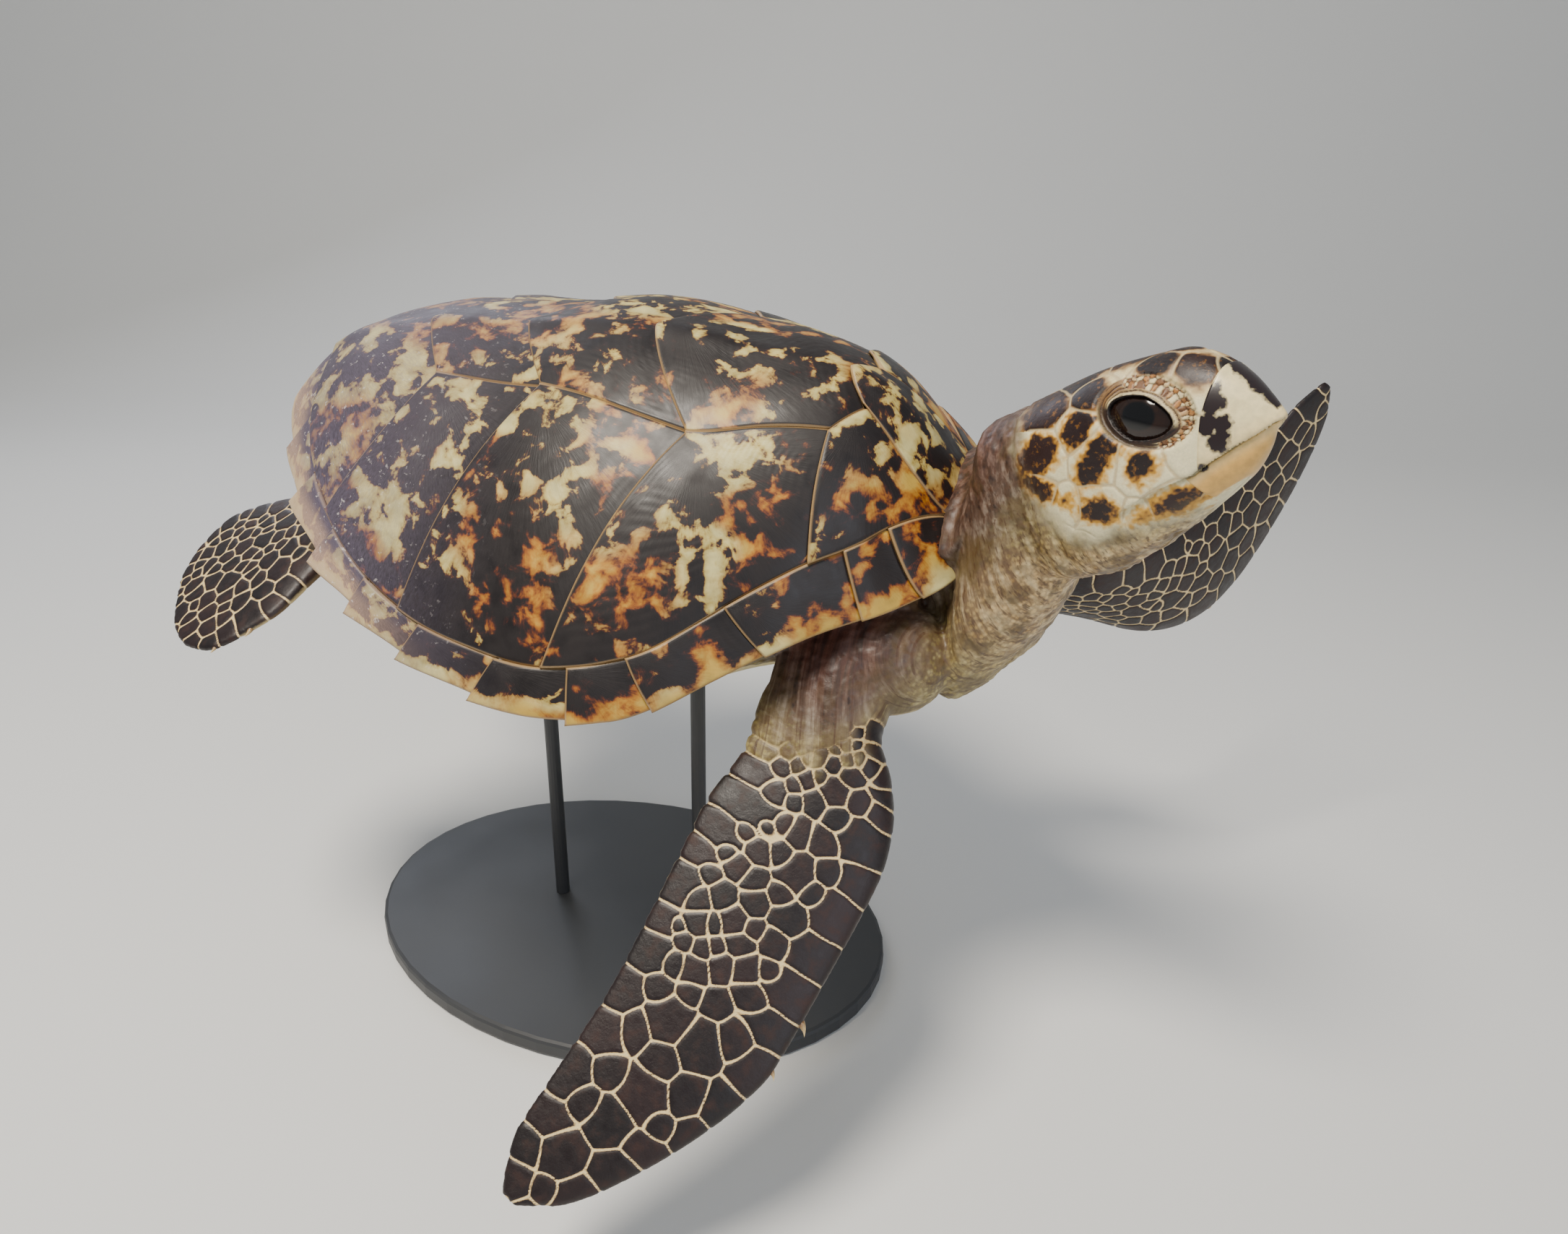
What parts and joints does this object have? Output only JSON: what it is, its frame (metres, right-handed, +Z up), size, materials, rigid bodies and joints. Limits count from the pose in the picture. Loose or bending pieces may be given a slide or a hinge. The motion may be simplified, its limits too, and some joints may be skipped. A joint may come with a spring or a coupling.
{
  "type": "hawksbill sea turtle model",
  "caption": "Life-size hawksbill sea turtle in a banked swimming pose, with overlapping shell plates and long scaled flippers, held over an oval base by short rods",
  "frame": {"origin": "on the floor, at the centre of the whole model's footprint box", "axes": "+X is the way the turtle swims, +Y its raised left side, +Z up"},
  "size_m": [0.7394, 0.574, 0.5078],
  "materials": {
    "belly_plates": "pale yellow horn plates, satin",
    "eye": "dark polished glass eye",
    "shell_plates": "dark brown horn with amber and cream streaks, satin, dusty to the rear",
    "skin": "dark scales with pale borders, wrinkled tan skin between",
    "stand": "satin dark grey paint"
  },
  "bodies": {
    "root": {"nuchal": "shell_plates", "vertebral_1": "shell_plates", "vertebral_2": "shell_plates", "vertebral_3": "shell_plates", "vertebral_4": "shell_plates", "vertebral_5": "shell_plates", "costal_right_1": "shell_plates", "costal_right_2": "shell_plates", "costal_right_3": "shell_plates", "costal_right_4": "shell_plates", "marginal_right_1": "shell_plates", "marginal_right_2": "shell_plates", "marginal_right_3": "shell_plates", "marginal_right_4": "shell_plates", "marginal_right_5": "shell_plates", "marginal_right_6": "shell_plates", "marginal_right_7": "shell_plates", "marginal_right_8": "shell_plates", "marginal_right_9": "shell_plates", "marginal_right_10": "shell_plates", "marginal_right_11": "shell_plates", "marginal_right_12": "shell_plates", "costal_left_1": "shell_plates", "costal_left_2": "shell_plates", "costal_left_3": "shell_plates", "costal_left_4": "shell_plates", "marginal_left_1": "shell_plates", "marginal_left_2": "shell_plates", "marginal_left_3": "shell_plates", "marginal_left_4": "shell_plates", "marginal_left_5": "shell_plates", "marginal_left_6": "shell_plates", "marginal_left_7": "shell_plates", "marginal_left_8": "shell_plates", "marginal_left_9": "shell_plates", "marginal_left_10": "shell_plates", "marginal_left_11": "shell_plates", "marginal_left_12": "shell_plates", "trunk": "skin", "plastron": "belly_plates", "head": "skin", "eye_right": "eye", "eye_left": "eye", "neck": "skin", "tail": "skin", "flipper_front_right": "skin", "flipper_front_left": "skin", "flipper_hind_right": "skin", "flipper_hind_left": "skin", "stand_base": "stand", "stand_rod_front": "stand", "stand_rod_rear": "stand"}
  },
  "joints": []
}
